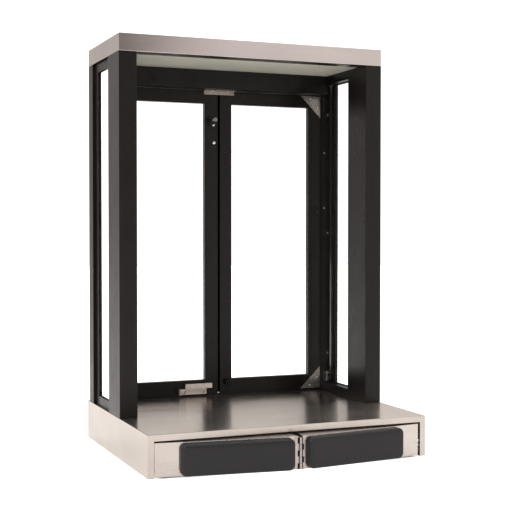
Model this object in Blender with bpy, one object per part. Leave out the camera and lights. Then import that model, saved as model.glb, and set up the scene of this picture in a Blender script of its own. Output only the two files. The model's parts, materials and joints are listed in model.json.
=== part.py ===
"""Pass-through service window.

A stainless shelf base and header cap on a black aluminium frame, glazed sides, two glazed leaves that swing
outward, and a padded V-shaped bumper that opens them through a push yoke.

Metres, +Z up. -Y is the operator's side, +Y is outside. The origin is at the middle of the footprint.
"""

import math

import bmesh
import bpy
from mathutils import Matrix, Vector

# Overall sizes.
WIDTH = 0.700
HEIGHT = 1.014
HEADER_HEIGHT = 0.042
HEADER_DEPTH = 0.298
BASE_HEIGHT = 0.098
BASE_FRONT_REACH = 0.229  # from the posts' front plane to the base's front
BASE_BACK_REACH = 0.321  # from the posts' front plane to the base's back
SHEET = 0.0015
GAP = 0.0003
HALF = WIDTH / 2
RUN = 0.010  # how far a cutter runs past the face it cuts

# Bumper: two panels in a shallow V, hinged together at the middle.
BUMPER_REACH = 0.269  # hinge line, ahead of the posts' front plane
PIVOT_X = 0.331
PIVOT_BACK = 0.007  # the end pivots lie this far behind the panels' front face
PANEL_LOW = 0.003
PANEL_HIGH = 0.079
PANEL_START = 0.005
PANEL_END_LEFT = 0.3365
PANEL_END_RIGHT = 0.3312
PAD_START = 0.0158
PAD_LENGTH = 0.264
PAD_LOW = 0.0033
PAD_HIGH = 0.0762
PAD_THICK = 0.018
PAD_ROUND = 0.0125
PAD_EDGE = 0.004
KNUCKLE_RADIUS = 0.0035
KNUCKLES = 5
HINGE_LOW = 0.0035
HINGE_HIGH = 0.0765
HINGE_LEAF_WIDTH = 0.0145
END_PIN_RADIUS = 0.002

# The panels' slope at rest: the hinge line lies BUMPER_REACH ahead and ends level with the base's front.
PIVOT_DROP = BUMPER_REACH - BASE_FRONT_REACH + PIVOT_BACK
PANEL_ARM = math.hypot(PIVOT_X, PIVOT_DROP)
SLOPE = math.asin(PIVOT_DROP / PANEL_ARM) - math.asin(PIVOT_BACK / PANEL_ARM)
PIVOT_ALONG = math.sqrt(PANEL_ARM**2 - PIVOT_BACK**2)
YOKE_TRAVEL = BUMPER_REACH - BASE_FRONT_REACH
PAD_REACH = BUMPER_REACH - (PAD_START + PAD_EDGE) * math.sin(SLOPE) + (PAD_THICK + GAP) * math.cos(SLOPE)

# Depth positions, with the footprint centred on Y = 0.
FACE_Y = (PAD_REACH - BASE_BACK_REACH) / 2
BASE_FRONT = FACE_Y - BASE_FRONT_REACH
BASE_BACK = FACE_Y + BASE_BACK_REACH
HINGE_Y = FACE_Y - BUMPER_REACH
PIVOT_Y = BASE_FRONT + PIVOT_BACK
HEADER_BACK = FACE_Y + HEADER_DEPTH
HEADER_LOW = HEIGHT - HEADER_HEIGHT

# Base tray.
BASE_LIP = 0.015
BASE_LEG = 0.015
RETURN_WIDTH = 0.017
SHAFT_HOLE = 0.0088

# Frame. The posts stand on the base, flush with its sides, and their stepped tops run up inside the cap.
FRAME_INSET = SHEET + GAP
POST_INNER = 0.306
FRONT_POST_DEPTH = 0.102
BACK_POST_FRONT = FACE_Y + 0.257
POST_WALL = 0.0035
RAIL_WALL = 0.003
FRAME_LOW = BASE_HEIGHT + GAP
FRAME_HIGH = HEIGHT - FRAME_INSET
RAIL_FRONT = FACE_Y + 0.232
RAIL_LOW = 0.923
BEAM_DEPTH = 0.044
SIDE_FRAME_OUTER = 0.3425
SIDE_STILE = 0.0285
SIDE_GLASS_LOW = 0.1213
SIDE_GLASS_HIGH = 0.9486
SIDE_GLASS_OUTER = 0.334
SIDE_SEAL = 0.0025
GLASS_THICK = 0.006

# Leaves.
LEAF_FRONT = FACE_Y + 0.268
LEAF_BACK = FACE_Y + 0.296
LEAF_INNER = 0.003
LEAF_OUTER = 0.302
LEAF_LOW = 0.104
LEAF_HIGH = 0.920
INNER_STILE = 0.0335
OUTER_STILE = 0.0315
LIGHT_LOW = 0.1411
LIGHT_HIGH = 0.8880
GROOVE_DEPTH = 0.008
GLASS_HOLD = 0.006
GLASS_FRONT = LEAF_FRONT + 0.0055
BEAD = 0.003
BEAD_SHOWN = 0.0008
SWEEP_LOW = 0.0984
SWEEP_HIGH = 0.9225
SWEEP_THICK = 0.005
MEETING_SEAL = 0.007
SWING_X = 0.293
SWING_Y = FACE_Y + 0.289
SHAFT_RADIUS = 0.005
SHAFT_BORE = SHAFT_RADIUS + GAP
SWING = math.radians(85.0)

# Push yoke and cranks, under the shelf.
CRANK_REACH = YOKE_TRAVEL / (2 * math.tan(SWING / 2))
CRANK_PIN_RADIUS = 0.003
CRANK_SLOT = 0.0048
CRANK_WALL = 0.004
CRANK_LOW = 0.064
CRANK_HIGH = 0.070
YOKE_LOW = 0.045
YOKE_HIGH = 0.057
YOKE_HALF_WIDTH = 0.010
YOKE_BAR_DEPTH = 0.016

# Front fittings of the leaves.
PLATE = 0.002
FITTING_BACK = LEAF_FRONT - GAP
GUSSET_LEG = 0.060
LOCK_X = -0.0221
LOCK_Z = 0.841
LOCK_RADIUS = 0.0115
LOCK_REACH = 0.035
LATCH_LEFT = -0.1140
LATCH_RIGHT = -0.0372
LATCH_LOW = 0.105
LATCH_HIGH = 0.120
BAR_LEFT = -0.0975
BAR_RIGHT = -0.0225
STOP_REACH = 0.043


def clear_scene():
    for obj in list(bpy.data.objects):
        bpy.data.objects.remove(obj)


def look(name, colour, roughness, metallic=0.0, alpha=1.0):
    made = bpy.data.materials.new(name)
    made.use_nodes = True
    shader = made.node_tree.nodes["Principled BSDF"]
    shader.inputs["Base Color"].default_value = (*colour, 1.0)
    shader.inputs["Roughness"].default_value = roughness
    shader.inputs["Metallic"].default_value = metallic
    shader.inputs["Alpha"].default_value = alpha
    return made


# Outlines: lists of 2D points.


def arc(centre, radius, start, end, steps):
    points = []
    for step in range(steps + 1):
        angle = math.radians(start + (end - start) * step / steps)
        points.append((centre[0] + radius * math.cos(angle), centre[1] + radius * math.sin(angle)))
    return points


def circle(centre, radius, steps=24):
    return arc(centre, radius, 0, 360 - 360 / steps, steps - 1)


def rounded(low, high, radius, steps=5):
    corners = (
        ((high[0] - radius, high[1] - radius), 0),
        ((low[0] + radius, high[1] - radius), 90),
        ((low[0] + radius, low[1] + radius), 180),
        ((high[0] - radius, low[1] + radius), 270),
    )
    points = []
    for centre, start in corners:
        points += arc(centre, radius, start, start + 90, steps)
    return points


def stadium(length_from, length_to, radius, steps=8):
    """A slot's outline along the first axis, with round ends."""
    right = arc((length_to, 0), radius, -90, 90, steps)
    left = arc((length_from, 0), radius, 90, 270, steps)
    return right + left


# Solids.


def new_object(name, shape, finish=None, origin=(0, 0, 0), place=None):
    if place is not None:
        bmesh.ops.transform(shape, matrix=place, verts=shape.verts)
    bmesh.ops.recalc_face_normals(shape, faces=shape.faces)
    bmesh.ops.translate(shape, verts=shape.verts, vec=-Vector(origin))
    mesh = bpy.data.meshes.new(name)
    shape.to_mesh(mesh)
    shape.free()
    if finish is not None:
        mesh.materials.append(finish)
    made = bpy.data.objects.new(name, mesh)
    made.location = origin
    bpy.context.scene.collection.objects.link(made)
    return made


def prism(name, outline, axis, low, high, finish=None, origin=(0, 0, 0), place=None):
    """An outline extruded along X, Y or Z, from low to high."""
    shape = bmesh.new()
    corner = {
        "X": lambda a, b, t: (t, a, b),
        "Y": lambda a, b, t: (a, t, b),
        "Z": lambda a, b, t: (a, b, t),
    }[axis]
    face = shape.faces.new([shape.verts.new(corner(a, b, low)) for a, b in outline])
    grown = bmesh.ops.extrude_face_region(shape, geom=[face])
    moved = [item for item in grown["geom"] if isinstance(item, bmesh.types.BMVert)]
    bmesh.ops.translate(shape, verts=moved, vec=corner(0, 0, high - low))
    return new_object(name, shape, finish, origin, place)


def box(name, low, high, finish=None, origin=(0, 0, 0), place=None):
    xs = sorted((low[0], high[0]))
    ys = sorted((low[1], high[1]))
    outline = [(xs[0], ys[0]), (xs[1], ys[0]), (xs[1], ys[1]), (xs[0], ys[1])]
    return prism(name, outline, "Z", low[2], high[2], finish, origin, place)


def combine(target, tool, operation):
    tool.hide_render = True
    tool.display_type = "WIRE"
    step = target.modifiers.new(operation.lower(), "BOOLEAN")
    step.operation = operation
    step.object = tool
    step.solver = "EXACT"


def cut(target, tool):
    combine(target, tool, "DIFFERENCE")


def add(target, tool):
    combine(target, tool, "UNION")


def cut_box(target, low, high, place=None):
    cut(target, box(f"cutter_{target.name}", low, high, place=place))


def add_box(target, low, high, place=None):
    add(target, box(f"guide_{target.name}", low, high, place=place))


def bevel(target, width, segments=2):
    step = target.modifiers.new("edges", "BEVEL")
    step.width = width
    step.segments = segments
    step.limit_method = "ANGLE"
    step.angle_limit = math.radians(40)


def smooth(target):
    target.data.shade_smooth()
    target.data.set_sharp_from_angle(angle=math.radians(35))


def ring(name, centre, inner, outer, low, high, finish, origin=(0, 0, 0)):
    made = prism(name, circle(centre, outer), "Z", low, high, finish, origin)
    cut(made, prism(f"cutter_{name}", circle(centre, inner), "Z", low - RUN, high + RUN))
    smooth(made)
    return made


def screws(target, places, front, back, radius=0.0036):
    """Screw heads along Y, joined to the plate they hold."""
    for x, z in places:
        add(target, prism(f"guide_{target.name}", circle((x, z), radius, 12), "Y", front, back))


# Fixed pieces.


def base_shell(finish):
    shell = box("base_shell", (-HALF, BASE_FRONT, 0), (HALF, BASE_BACK, BASE_HEIGHT), finish)
    bevel(shell, 0.0008)
    wall = HALF - SHEET
    cut_box(shell, (-wall, BASE_FRONT + SHEET, SHEET), (wall, BASE_BACK - SHEET, BASE_HEIGHT - SHEET))
    rim = HALF - RETURN_WIDTH
    cut_box(shell, (-rim, BASE_FRONT + SHEET, -RUN), (rim, BASE_BACK - RETURN_WIDTH, RUN))
    leg = HALF - BASE_LEG
    cut_box(shell, (-leg, BASE_FRONT - RUN, -RUN), (leg, BASE_FRONT + RUN, BASE_HEIGHT - BASE_LIP))
    for side in (-1, 1):
        hole = circle((side * SWING_X, SWING_Y), SHAFT_HOLE)
        cut(shell, prism("cutter_shaft_hole", hole, "Z", BASE_HEIGHT - RUN, BASE_HEIGHT + RUN))


def header_cap(finish):
    cap = box("header_cap", (-HALF, FACE_Y, HEADER_LOW), (HALF, HEADER_BACK, HEIGHT), finish)
    bevel(cap, 0.0008)
    wall = HALF - SHEET
    cut_box(cap, (-wall, FACE_Y + SHEET, HEADER_LOW - RUN), (wall, HEADER_BACK - SHEET, HEIGHT - SHEET))


def post(name, side, front, back, finish):
    """A rectangular tube, open at both ends, its top stepped in by the cap's thickness."""
    inner = side * POST_INNER
    outer = side * HALF
    top = HEADER_LOW - GAP
    made = box(name, (inner, front, FRAME_LOW), (outer, back, top), finish)
    bevel(made, 0.0007)
    step_low = (inner + side * 0.001, max(front, FACE_Y + FRAME_INSET), top - RUN)
    add_box(made, step_low, (outer - side * FRAME_INSET, min(back, HEADER_BACK - FRAME_INSET), FRAME_HIGH))
    wall = side * POST_WALL
    low = (inner + wall, front + POST_WALL, FRAME_LOW - RUN)
    cut_box(made, low, (outer - wall, back - POST_WALL, FRAME_HIGH + RUN))


def frame_rails(finish):
    reach = POST_INNER - GAP
    front = FACE_Y + FRAME_INSET
    box("front_beam", (-reach, front, HEADER_LOW), (reach, FACE_Y + BEAM_DEPTH, FRAME_HIGH), finish)
    back = HEADER_BACK - FRAME_INSET
    rail = box("header_rail", (-reach, RAIL_FRONT, RAIL_LOW), (reach, back, FRAME_HIGH), finish)
    low = (-reach - RUN, RAIL_FRONT + RAIL_WALL, RAIL_LOW + RAIL_WALL)
    cut_box(rail, low, (reach + RUN, back - RAIL_WALL, FRAME_HIGH - RAIL_WALL))


def side_wall(word, side, frame_finish, glass_finish, seal_finish):
    """A sill, a rear stile and a top rail in one frame, with a pane inside it and a seal on the pane."""
    front = FACE_Y + FRONT_POST_DEPTH + GAP
    back = BACK_POST_FRONT - GAP
    inner = side * (POST_INNER + GAP)
    outer = side * SIDE_FRAME_OUTER
    pane_out = side * SIDE_GLASS_OUTER
    pane_in = side * (SIDE_GLASS_OUTER - GLASS_THICK)
    past = side * RUN
    stile_in = pane_out + side * GAP
    frame = box(f"side_frame_{word}", (inner, front, FRAME_LOW), (outer, back, FRAME_HIGH), frame_finish)
    recess_low = (inner - past, front - RUN, SIDE_GLASS_LOW)
    cut_box(frame, recess_low, (stile_in, back + RUN, SIDE_GLASS_HIGH))
    light_low = (pane_in, front - RUN, SIDE_GLASS_LOW)
    cut_box(frame, light_low, (outer + past, back - SIDE_STILE, SIDE_GLASS_HIGH))
    low = SIDE_GLASS_LOW + GAP
    high = SIDE_GLASS_HIGH - GAP
    box(f"side_glass_{word}", (pane_in, front, low), (pane_out, back, high), glass_finish)
    seal_out = pane_in - side * GAP
    seal_in = seal_out - side * 0.003
    seal_back = back - SIDE_STILE + SIDE_SEAL
    seal = box(f"side_seal_{word}", (seal_in, front, low), (seal_out, seal_back, high), seal_finish)
    hole_low = (seal_in - past, front + SIDE_SEAL, low + SIDE_SEAL)
    cut_box(seal, hole_low, (seal_out + past, seal_back - SIDE_SEAL, high - SIDE_SEAL))


def ceiling_panel(finish):
    reach = POST_INNER - 2 * GAP
    low = (-reach, FACE_Y + BEAM_DEPTH + GAP, HEADER_LOW + GAP)
    box("ceiling_panel", low, (reach, RAIL_FRONT - GAP, HEADER_LOW + GAP + 0.002), finish)


def door_stop(finish):
    """An angle under the header rail: the closed leaves rest just behind its hanging leg."""
    top = RAIL_LOW - GAP
    face = LEAF_FRONT - 0.0035
    front = face - 0.013
    reach = STOP_REACH
    stop = box("door_stop_bracket", (-reach, front, top - PLATE), (reach, face + PLATE, top), finish)
    add_box(stop, (-reach, face, top - 0.0117), (reach, face + PLATE, top - PLATE / 2))
    for x in (-reach / 2, reach / 2):
        head = circle((x, front + 0.0065), 0.0038, 12)
        add(stop, prism("guide_stop_screw", head, "Z", top - PLATE - 0.0015, top - PLATE / 2))


def top_pivot_pin(word, side, finish):
    centre = (side * SWING_X, SWING_Y)
    top = RAIL_LOW - GAP
    pin = prism(f"top_pivot_pin_{word}", circle(centre, 0.004), "Z", LEAF_HIGH - 0.0115, top, finish)
    add(pin, prism("guide_pin_flange", circle(centre, 0.0068), "Z", LEAF_HIGH + 0.0009, top))
    smooth(pin)


def shaft_bush(word, side, finish):
    centre = (side * SWING_X, SWING_Y)
    low = BASE_HEIGHT - 0.0045
    high = BASE_HEIGHT + 0.0023
    bush = prism(f"shaft_bush_{word}", circle(centre, 0.0085), "Z", low, high, finish)
    add(bush, prism("guide_bush_flange", circle(centre, 0.0125), "Z", BASE_HEIGHT + GAP, high))
    cut(bush, prism("cutter_bush", circle(centre, SHAFT_BORE), "Z", low - RUN, high + RUN))
    smooth(bush)


def yoke_guide(name, front, finish):
    """A hanging strap with a window that the yoke's bar slides through."""
    reach = 0.022
    depth = 0.020
    clearance = 0.0015
    top = BASE_HEIGHT - SHEET - GAP
    guide = box(name, (-reach, front, YOKE_LOW - 0.008), (reach, front + depth, top), finish)
    window = YOKE_HALF_WIDTH + clearance
    low = (-window, front - RUN, YOKE_LOW - clearance)
    cut_box(guide, low, (window, front + depth + RUN, YOKE_HIGH + clearance))


def jamb_catch(word, side, finish):
    """A small bracket on the back post's front face, with a vertical adjusting bolt."""
    near = side * 0.3075
    far = side * 0.3240
    low = 0.1225
    high = 0.1505
    back = BACK_POST_FRONT - GAP
    front = back - 0.016
    catch = box(f"jamb_catch_{word}", (near, back - PLATE, low), (far, back, high), finish)
    add_box(catch, (near, front, high - 0.003), (far, back - PLATE / 2, high))
    centre = (side * 0.3155, front + 0.007)
    add(catch, prism("guide_bolt", circle(centre, 0.003, 16), "Z", low + 0.001, high + 0.002))
    add(catch, prism("guide_nut", circle(centre, 0.0060, 12), "Z", low + 0.0025, high - 0.0145))


def bumper_end_bracket(finish):
    """Two lugs and a pin inside the left leg, which carry the left panel's outer end."""
    wall = -(HALF - FRAME_INSET)
    centre = (-PIVOT_X, PIVOT_Y)
    front = PIVOT_Y - 0.0042
    low = (wall, front, 0.015)
    bracket = box("bumper_pivot_bracket", low, (wall + PLATE, PIVOT_Y + 0.028, 0.069), finish)
    for low in (0.020, 0.060):
        lug_high = (-PIVOT_X + 0.0045, PIVOT_Y + 0.012, low + 0.004)
        add_box(bracket, (wall + PLATE / 2, front, low), lug_high)
    add(bracket, prism("guide_pivot_pin", circle(centre, END_PIN_RADIUS, 16), "Z", 0.021, 0.063))


def bumper_slot_bracket(finish):
    """A slotted plate inside the right leg, which guides the right panel's pin as the V flattens."""
    wall = HALF - FRAME_INSET
    front = PIVOT_Y - 0.0050
    low = (wall - PLATE, front, 0.015)
    bracket = box("bumper_slot_bracket", low, (wall, PIVOT_Y + 0.028, 0.060), finish)
    add_box(bracket, (PIVOT_X - 0.009, front, 0.026), (wall - PLATE / 2, PIVOT_Y + 0.014, 0.029))
    travel = 2 * (PANEL_ARM - PIVOT_X)
    outline = stadium(-0.0005, travel + 0.0005, END_PIN_RADIUS + 0.0012)
    slot = [(PIVOT_X + x, PIVOT_Y + y) for x, y in outline]
    cut(bracket, prism("cutter_slot", slot, "Z", 0.016, 0.035))


# Leaves. Each leaf's pieces have their origin on the swing axis.


def swing_origin(side):
    return (side * SWING_X, SWING_Y, 0)


def leaf(word, side, looks):
    """A glazed leaf: its frame, with the sweeps that close its gaps, its pane and its glazing bead."""
    origin = swing_origin(side)
    inner = side * LEAF_INNER
    outer = side * LEAF_OUTER
    light_in = side * (LEAF_INNER + INNER_STILE)
    light_out = side * (LEAF_OUTER - OUTER_STILE)
    low = (inner, LEAF_FRONT, LEAF_LOW)
    frame = box(f"leaf_frame_{word}", low, (outer, LEAF_BACK, LEAF_HIGH), looks["frame"], origin)
    bevel(frame, 0.0008)
    light_low = (light_in, LEAF_FRONT - RUN, LIGHT_LOW)
    cut_box(frame, light_low, (light_out, LEAF_BACK + RUN, LIGHT_HIGH))
    groove = side * GROOVE_DEPTH
    groove_front = GLASS_FRONT - BEAD - 2 * GAP
    low = (light_in - groove, groove_front, LIGHT_LOW - GROOVE_DEPTH)
    high = (light_out + groove, GLASS_FRONT + GLASS_THICK + GAP, LIGHT_HIGH + GROOVE_DEPTH)
    cut_box(frame, low, high)
    centre = (side * SWING_X, SWING_Y)
    top_bore = circle(centre, 0.0045)
    cut(frame, prism("cutter_top_bore", top_bore, "Z", LEAF_HIGH - 0.013, LEAF_HIGH + RUN))
    shaft_bore = circle(centre, SHAFT_BORE)
    cut(frame, prism("cutter_shaft_bore", shaft_bore, "Z", LEAF_LOW - RUN, LEAF_LOW + 0.021))
    leaf_sweeps(frame, side)
    hold = side * GLASS_HOLD
    pane_low = (light_in - hold, GLASS_FRONT, LIGHT_LOW - GLASS_HOLD)
    pane_high = (light_out + hold, GLASS_FRONT + GLASS_THICK, LIGHT_HIGH + GLASS_HOLD)
    box(f"leaf_glass_{word}", pane_low, pane_high, looks["glass"], origin)
    bead_low = (light_in - hold, GLASS_FRONT - GAP - BEAD, LIGHT_LOW - GLASS_HOLD)
    bead_high = (light_out + hold, GLASS_FRONT - GAP, LIGHT_HIGH + GLASS_HOLD)
    bead = box(f"leaf_bead_{word}", bead_low, bead_high, looks["seal"], origin)
    shown = side * BEAD_SHOWN
    hole_low = (light_in + shown, bead_low[1] - RUN, LIGHT_LOW + BEAD_SHOWN)
    cut_box(bead, hole_low, (light_out - shown, bead_high[1] + RUN, LIGHT_HIGH - BEAD_SHOWN))


def leaf_sweeps(frame, side):
    """Strips along the leaf's bottom, its top and its meeting edge."""
    inner = side * (LEAF_INNER + 0.001)
    outer = side * (LEAF_OUTER - 0.001)
    front = LEAF_FRONT + 0.001
    back = front + SWEEP_THICK
    add_box(frame, (inner, front, SWEEP_LOW), (outer, back, LEAF_LOW + 0.001))
    add_box(frame, (inner, front, LEAF_HIGH - 0.001), (outer, back, SWEEP_HIGH))
    meeting_low = (side * GAP, SWING_Y - MEETING_SEAL / 2, LEAF_LOW + 0.001)
    add_box(frame, meeting_low, (inner, SWING_Y + MEETING_SEAL / 2, LEAF_HIGH - 0.001))


def gusset(name, side, corner_z, rise, finish):
    """A triangular plate on the leaf's outer corner, held by two screws."""
    corner = side * LEAF_OUTER
    leg = GUSSET_LEG
    outline = [(corner, corner_z), (corner - side * leg, corner_z), (corner, corner_z + rise * leg)]
    plate = prism(name, outline, "Y", FITTING_BACK - PLATE, FITTING_BACK, finish, swing_origin(side))
    along_rail = (corner - side * 0.0315, corner_z + rise * 0.0075)
    places = [along_rail, (corner - side * 0.0082, corner_z + rise * 0.029)]
    screws(plate, places, FITTING_BACK - PLATE - 0.0014, FITTING_BACK - PLATE / 2)


def shaft_set(word, side, looks):
    """The leaf's lower shaft, its thrust washer, the slotted crank arm and the closing spring."""
    origin = swing_origin(side)
    centre = (side * SWING_X, SWING_Y)
    steel = looks["steel"]
    round_bar = circle(centre, SHAFT_RADIUS)
    shaft = prism(f"pivot_shaft_{word}", round_bar, "Z", 0.058, LEAF_LOW + 0.0205, steel, origin)
    smooth(shaft)
    low = BASE_HEIGHT + 0.0026
    nylon = looks["nylon"]
    ring(f"thrust_washer_{word}", centre, SHAFT_BORE, 0.011, low, LEAF_LOW - GAP, nylon, origin)
    turn = -SWING / 2 if side < 0 else math.pi + SWING / 2
    place = Matrix.Translation((*centre, 0)) @ Matrix.Rotation(turn, 4, "Z")
    far = CRANK_REACH / math.cos(SWING / 2)
    arm_outline = stadium(0, far, CRANK_SLOT + CRANK_WALL)
    arm = prism(f"crank_arm_{word}", arm_outline, "Z", CRANK_LOW, CRANK_HIGH, steel, origin, place)
    hub_high = CRANK_HIGH + 0.008
    add(arm, prism("guide_hub", circle((0, 0), 0.0105), "Z", CRANK_LOW - 0.004, hub_high, place=place))
    bore = circle((0, 0), SHAFT_BORE)
    cut(arm, prism("cutter_hub", bore, "Z", CRANK_LOW - RUN, hub_high + RUN, place=place))
    slot = stadium(CRANK_REACH, far, CRANK_SLOT)
    cut(arm, prism("cutter_crank_slot", slot, "Z", CRANK_LOW - RUN, CRANK_HIGH + RUN / 4, place=place))
    smooth(arm)
    closing_spring(f"closing_spring_{word}", centre, looks["spring"], origin)


def closing_spring(name, centre, finish, origin):
    """A wound torsion spring around the shaft."""
    turns = 4
    steps = 16
    coil_radius = 0.009
    wire = 0.0011
    low = CRANK_HIGH + 0.0105
    pitch = 0.0029
    path = bpy.data.curves.new(name, "CURVE")
    path.dimensions = "3D"
    path.bevel_depth = wire
    path.bevel_resolution = 1
    path.use_fill_caps = True
    spline = path.splines.new("POLY")
    count = turns * steps
    spline.points.add(count)
    for step in range(count + 1):
        angle = 2 * math.pi * step / steps
        x = coil_radius * math.cos(angle)
        y = coil_radius * math.sin(angle)
        spline.points[step].co = (x, y, low + pitch * step / steps, 1)
    path.materials.append(finish)
    coil = bpy.data.objects.new(name, path)
    coil.location = (centre[0], centre[1], origin[2])
    bpy.context.scene.collection.objects.link(coil)


def lock(looks):
    origin = swing_origin(-1)
    centre = (LOCK_X, LOCK_Z)
    front = FITTING_BACK - 0.006
    case = circle(centre, LOCK_RADIUS)
    body = prism("lock_body", case, "Y", front, FITTING_BACK, looks["rubber"], origin)
    cut(body, prism("cutter_lock", circle(centre, 0.0046, 16), "Y", front - RUN, FITTING_BACK - 0.001))
    smooth(body)
    axis_point = (LOCK_X, LEAF_FRONT, LOCK_Z)
    tip = LEAF_FRONT - LOCK_REACH
    stem = circle(centre, 0.0036, 16)
    knob = prism("lock_knob", stem, "Y", tip, FITTING_BACK - 0.002, looks["steel"], axis_point)
    add(knob, prism("guide_knob_head", circle(centre, 0.0056, 20), "Y", tip, tip + 0.008))
    grip_low = (LOCK_X - 0.0012, tip - 0.003, LOCK_Z - 0.0046)
    add_box(knob, grip_low, (LOCK_X + 0.0012, tip + 0.001, LOCK_Z + 0.0046))
    smooth(knob)


def slide_latch(looks):
    """A screwed base plate with an upturned end and a ledge, and the bar that slides along the ledge."""
    origin = swing_origin(-1)
    steel = looks["steel"]
    back = FITTING_BACK - PLATE / 2
    low = (LATCH_LEFT, FITTING_BACK - PLATE, LATCH_LOW)
    plate = box("latch_base", low, (LATCH_RIGHT, FITTING_BACK, LATCH_HIGH), steel, origin)
    end_low = (LATCH_LEFT, FITTING_BACK - 0.013, LATCH_LOW)
    add_box(plate, end_low, (LATCH_LEFT + PLATE, back, LATCH_HIGH + 0.001))
    ledge_low = (BAR_LEFT + 0.001, FITTING_BACK - 0.0085, LATCH_HIGH - 0.0015)
    add_box(plate, ledge_low, (LATCH_RIGHT - 0.002, back, LATCH_HIGH + 0.0005))
    places = [(LATCH_LEFT + 0.0132, 0.1122), (LATCH_RIGHT - 0.0107, 0.1122)]
    screws(plate, places, FITTING_BACK - PLATE - 0.0016, back)
    bar_low = (BAR_LEFT, FITTING_BACK - 0.0085, LATCH_HIGH + 0.001)
    bar = box("latch_bar", bar_low, (BAR_RIGHT, FITTING_BACK - 0.0015, 0.1335), steel, bar_low)
    bevel(bar, 0.0008)


def rubber_stop(finish):
    centre = (0.0231, 0.134)
    front = FITTING_BACK - 0.008
    stop = prism("rubber_stop", circle(centre, 0.009), "Y", front, FITTING_BACK, finish, swing_origin(1))
    bevel(stop, 0.0015)
    smooth(stop)


# Bumper.


def panel_place(side):
    """From a panel's own frame (along it from the hinge, back from its face, up) to the world."""
    turned = Matrix.Translation((0, HINGE_Y, 0)) @ Matrix.Rotation(SLOPE, 4, "Z")
    return Matrix.Diagonal((side, 1, 1, 1)) @ turned


def bumper_origin(side):
    return (-PIVOT_X, PIVOT_Y, 0) if side < 0 else (0, HINGE_Y, 0)


def bumper_panel(word, side, finish):
    """A bent sheet with a flange along its top and bottom, and its half of the end pivot."""
    place = panel_place(side)
    end = PANEL_END_LEFT if side < 0 else PANEL_END_RIGHT
    low = (PANEL_START, 0, PANEL_LOW)
    high = (end, SHEET, PANEL_HIGH)
    panel = box(f"bumper_panel_{word}", low, high, finish, bumper_origin(side), place)
    half = SHEET / 2
    start = PANEL_START + 0.001
    top = [(start, half), (start + 0.010, 0.052), (end - 0.030, 0.016), (end - 0.014, half)]
    add(panel, prism("guide_top_flange", top, "Z", PANEL_HIGH - SHEET, PANEL_HIGH, place=place))
    foot = [(start, half), (start + 0.003, 0.012), (end - 0.030, 0.012), (end - 0.014, half)]
    add(panel, prism("guide_bottom_flange", foot, "Z", PANEL_LOW, PANEL_LOW + SHEET, place=place))
    if side < 0:
        end_knuckle(panel, place)
    else:
        end_slot_pin(panel, place, end)


def end_knuckle(panel, place):
    along = PIVOT_ALONG
    knuckle = circle((along, PIVOT_BACK), 0.0045)
    add(panel, prism("guide_knuckle", knuckle, "Z", 0.026, 0.058, place=place))
    add_box(panel, (along - 0.010, SHEET / 2, 0.026), (along, PIVOT_BACK + 0.003, 0.058), place)
    bore = circle((along, PIVOT_BACK), END_PIN_RADIUS + 0.0004, 16)
    cut(panel, prism("cutter_knuckle", bore, "Z", 0.020, 0.064, place=place))


def end_slot_pin(panel, place, end):
    along = PIVOT_ALONG
    add_box(panel, (along - 0.016, SHEET / 2, 0.035), (end - 0.002, 0.005, 0.041), place)
    add_box(panel, (along - 0.016, 0.0032, 0.035), (along + 0.0035, 0.0105, 0.041), place)
    pin = circle((along, PIVOT_BACK), END_PIN_RADIUS, 16)
    add(panel, prism("guide_slot_pin", pin, "Z", 0.020, 0.036, place=place))


def bumper_pad(word, side, finish):
    outline = rounded((PAD_START, PAD_LOW), (PAD_START + PAD_LENGTH, PAD_HIGH), PAD_ROUND)
    origin = bumper_origin(side)
    place = panel_place(side)
    pad = prism(f"bumper_pad_{word}", outline, "Y", -GAP - PAD_THICK, -GAP, finish, origin, place)
    bevel(pad, PAD_EDGE, 3)
    smooth(pad)


def hinge_leaf(word, side, finish):
    """Half of the centre hinge: a plate on the panel's face with every second knuckle."""
    place = panel_place(side)
    front = -GAP - 0.0014
    low = (KNUCKLE_RADIUS + 0.0008, front, HINGE_LOW)
    high = (HINGE_LEAF_WIDTH, -GAP, HINGE_HIGH)
    half = box(f"centre_hinge_{word}", low, high, finish, bumper_origin(side), place)
    pitch = (HINGE_HIGH - HINGE_LOW) / KNUCKLES
    first = 1 if side < 0 else 0
    for index in range(first, KNUCKLES, 2):
        low = HINGE_LOW + pitch * index + GAP
        high = low + pitch - 2 * GAP
        add(half, prism("guide_barrel", circle((0, 0), KNUCKLE_RADIUS, 20), "Z", low, high, place=place))
        add_box(half, (0, front, low), (KNUCKLE_RADIUS + 0.002, -GAP, high), place)
    bore = circle((0, 0), 0.0018, 16)
    cut(half, prism("cutter_barrel", bore, "Z", HINGE_LOW - RUN, HINGE_HIGH + RUN, place=place))
    smooth(half)


def hinge_pin(finish):
    round_bar = circle((0, HINGE_Y), 0.0014, 16)
    pin = prism("centre_hinge_pin", round_bar, "Z", HINGE_LOW, HINGE_HIGH, finish, bumper_origin(1))
    smooth(pin)


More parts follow.
